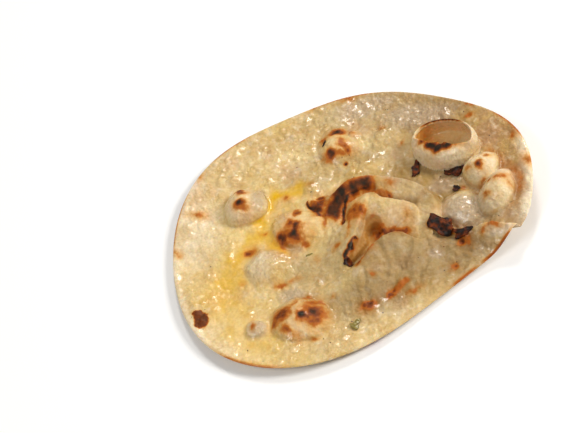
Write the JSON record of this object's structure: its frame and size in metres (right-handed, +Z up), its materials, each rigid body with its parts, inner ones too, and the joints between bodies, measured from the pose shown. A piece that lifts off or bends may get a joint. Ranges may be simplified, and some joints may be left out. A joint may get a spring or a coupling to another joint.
{
  "type": "tandoori roti",
  "caption": "Oval sheet of leavened flatbread lying blistered side up, with closed domes, a burst cup-shaped blister, a torn central blister and a pleat at its curled end",
  "frame": {"origin": "on the floor under the middle of the bread's outline", "axes": "+X along the length towards the curled-up end, +Y across the bread away from the pleat, +Z up out of the blistered side"},
  "size_m": [0.2012, 0.1622, 0.0217],
  "materials": {
    "baked_dough": "pale baked dough with scorched blisters and a thin film of butter"
  },
  "bodies": {
    "root": {"roti": "baked_dough"}
  },
  "joints": []
}
